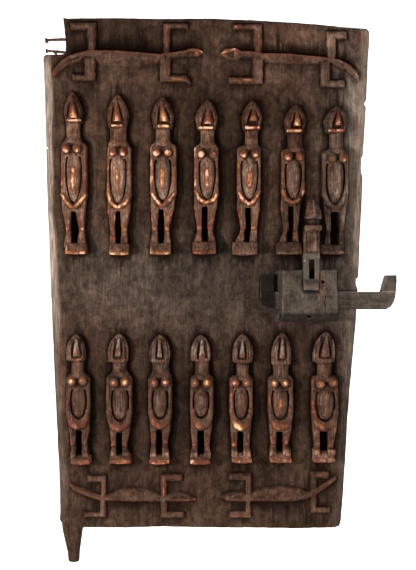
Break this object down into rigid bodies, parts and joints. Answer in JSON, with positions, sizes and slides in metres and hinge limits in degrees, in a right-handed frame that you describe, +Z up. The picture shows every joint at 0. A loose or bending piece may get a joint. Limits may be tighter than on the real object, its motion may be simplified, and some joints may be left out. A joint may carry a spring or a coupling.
{
  "type": "carved granary door leaf with wooden lock",
  "caption": "Small one-plank wooden granary door leaf on a pivot peg, carved with rows of standing figures and lizards, with a wooden tumbler lock and sliding bolt.",
  "frame": {"origin": "on the axis of the lower pivot peg, at the lower end of its round stretch", "axes": "+Z up along the pivot axis, +X from the pivot side to the lock side, the carved face looks along -Y"},
  "size_m": [0.5006, 0.094, 0.7812],
  "materials": {
    "door_wood": "dark handled patina over worn reddish wood, low sheen",
    "lock_wood": "grey brown weathered wood, low sheen",
    "bolt_wood": "grey brown weathered wood, low sheen",
    "tumbler_wood": "plain cut wood",
    "nail_iron": "rusted hand-forged iron"
  },
  "bodies": {
    "leaf": {"door_leaf": "door_wood", "lock_case": "lock_wood", "lock_nail_upper": "nail_iron", "lock_nail_lower": "nail_iron", "pivot_nail_upper": "nail_iron", "pivot_nail_lower": "nail_iron"},
    "bolt": {"bolt": "bolt_wood"},
    "tumbler_left": {"tumbler_left": "tumbler_wood"},
    "tumbler_right": {"tumbler_right": "tumbler_wood"}
  },
  "joints": [
    {"name": "bolt_slide", "type": "slide", "parent": "leaf", "child": "bolt", "axis": [1, 0, 0], "range_m": [-0.062, 0.0035]},
    {"name": "tumbler_left_lift", "type": "slide", "parent": "leaf", "child": "tumbler_left", "axis": [0, 0, 1], "range_m": [0, 0.0045]},
    {"name": "tumbler_right_lift", "type": "slide", "parent": "leaf", "child": "tumbler_right", "axis": [0, 0, 1], "range_m": [0, 0.0045]}
  ]
}
